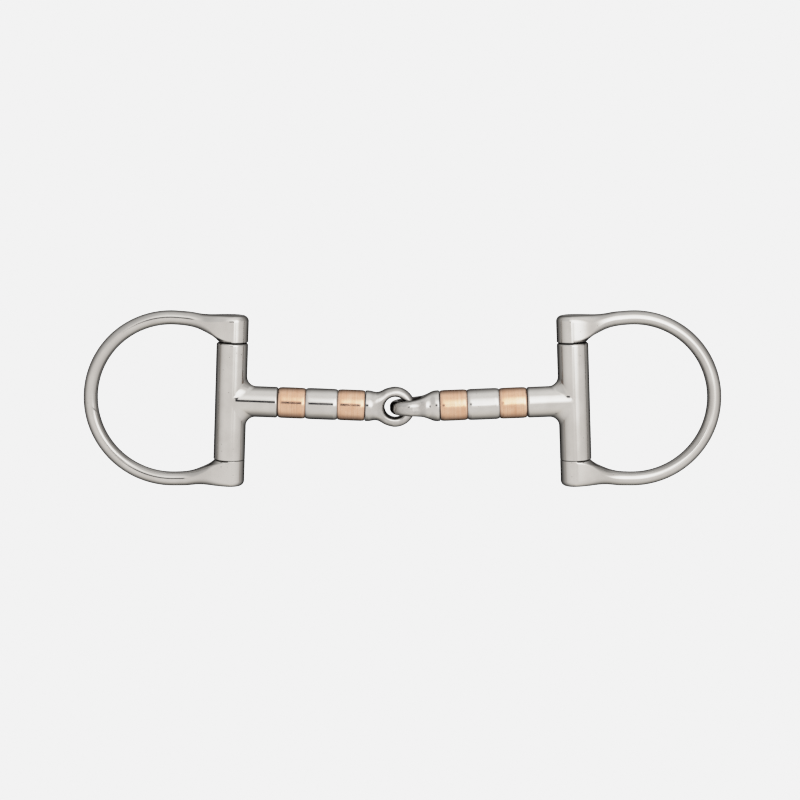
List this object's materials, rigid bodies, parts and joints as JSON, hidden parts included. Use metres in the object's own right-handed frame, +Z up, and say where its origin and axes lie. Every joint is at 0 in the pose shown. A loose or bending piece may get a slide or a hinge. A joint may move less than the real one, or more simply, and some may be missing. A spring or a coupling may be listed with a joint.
{
  "type": "snaffle bit",
  "caption": "Single-jointed snaffle bit with D-shaped swinging cheek rings and free-turning copper and steel rollers along both arms of the mouthpiece.",
  "frame": {"origin": "midway between the two hinge barrels, on the line through their middles", "axes": "+X along the mouthpiece from the left dee to the right dee, +Y away from the front, +Z up along the hinge barrels"},
  "size_m": [0.2596, 0.0164, 0.072],
  "materials": {
    "polished_steel": "polished stainless steel",
    "copper": "turned copper, lightly polished"
  },
  "bodies": {
    "left_arm": {"left_barrel_tee": "polished_steel", "left_spindle": "polished_steel", "left_eye_end": "polished_steel"},
    "left_cheek": {"left_dee_ring": "polished_steel", "left_hinge_pin": "polished_steel"},
    "left_outer_roller": {"left_roller_outer_copper": "copper"},
    "left_middle_roller": {"left_roller_middle_steel": "polished_steel"},
    "left_inner_roller": {"left_roller_inner_copper": "copper"},
    "right_arm": {"right_barrel_tee": "polished_steel", "right_spindle": "polished_steel", "right_eye_end": "polished_steel"},
    "right_cheek": {"right_dee_ring": "polished_steel", "right_hinge_pin": "polished_steel"},
    "right_outer_roller": {"right_roller_outer_copper": "copper"},
    "right_middle_roller": {"right_roller_middle_steel": "polished_steel"},
    "right_inner_roller": {"right_roller_inner_copper": "copper"}
  },
  "joints": [
    {"name": "centre_fold", "type": "hinge", "parent": "left_arm", "child": "right_arm", "pos_m": [0.0032, 0, -0.00281], "axis": [0.0384, 0, 0.9993], "range_deg": [-100, 100]},
    {"name": "left_cheek_swing", "type": "hinge", "parent": "left_arm", "child": "left_cheek", "pos_m": [-0.0699, 0, 0], "axis": [0.0384, 0, 0.9993], "range_deg": [-165, 165]},
    {"name": "left_outer_roller_spin", "type": "hinge", "parent": "left_arm", "child": "left_outer_roller", "pos_m": [-0.04494, 0, -0.00096], "axis": [0.9993, 0, -0.0384], "continuous": true},
    {"name": "left_middle_roller_spin", "type": "hinge", "parent": "left_arm", "child": "left_middle_roller", "pos_m": [-0.0329, 0, -0.00142], "axis": [0.9993, 0, -0.0384], "continuous": true},
    {"name": "left_inner_roller_spin", "type": "hinge", "parent": "left_arm", "child": "left_inner_roller", "pos_m": [-0.02086, 0, -0.00188], "axis": [0.9993, 0, -0.0384], "continuous": true},
    {"name": "right_cheek_swing", "type": "hinge", "parent": "right_arm", "child": "right_cheek", "pos_m": [0.0699, 0, 0], "axis": [0.0384, 0, -0.9993], "range_deg": [-165, 165]},
    {"name": "right_outer_roller_spin", "type": "hinge", "parent": "right_arm", "child": "right_outer_roller", "pos_m": [0.04494, 0, -0.00096], "axis": [-0.9993, 0, -0.0384], "continuous": true},
    {"name": "right_middle_roller_spin", "type": "hinge", "parent": "right_arm", "child": "right_middle_roller", "pos_m": [0.0329, 0, -0.00142], "axis": [-0.9993, 0, -0.0384], "continuous": true},
    {"name": "right_inner_roller_spin", "type": "hinge", "parent": "right_arm", "child": "right_inner_roller", "pos_m": [0.02086, 0, -0.00188], "axis": [-0.9993, 0, -0.0384], "continuous": true}
  ]
}
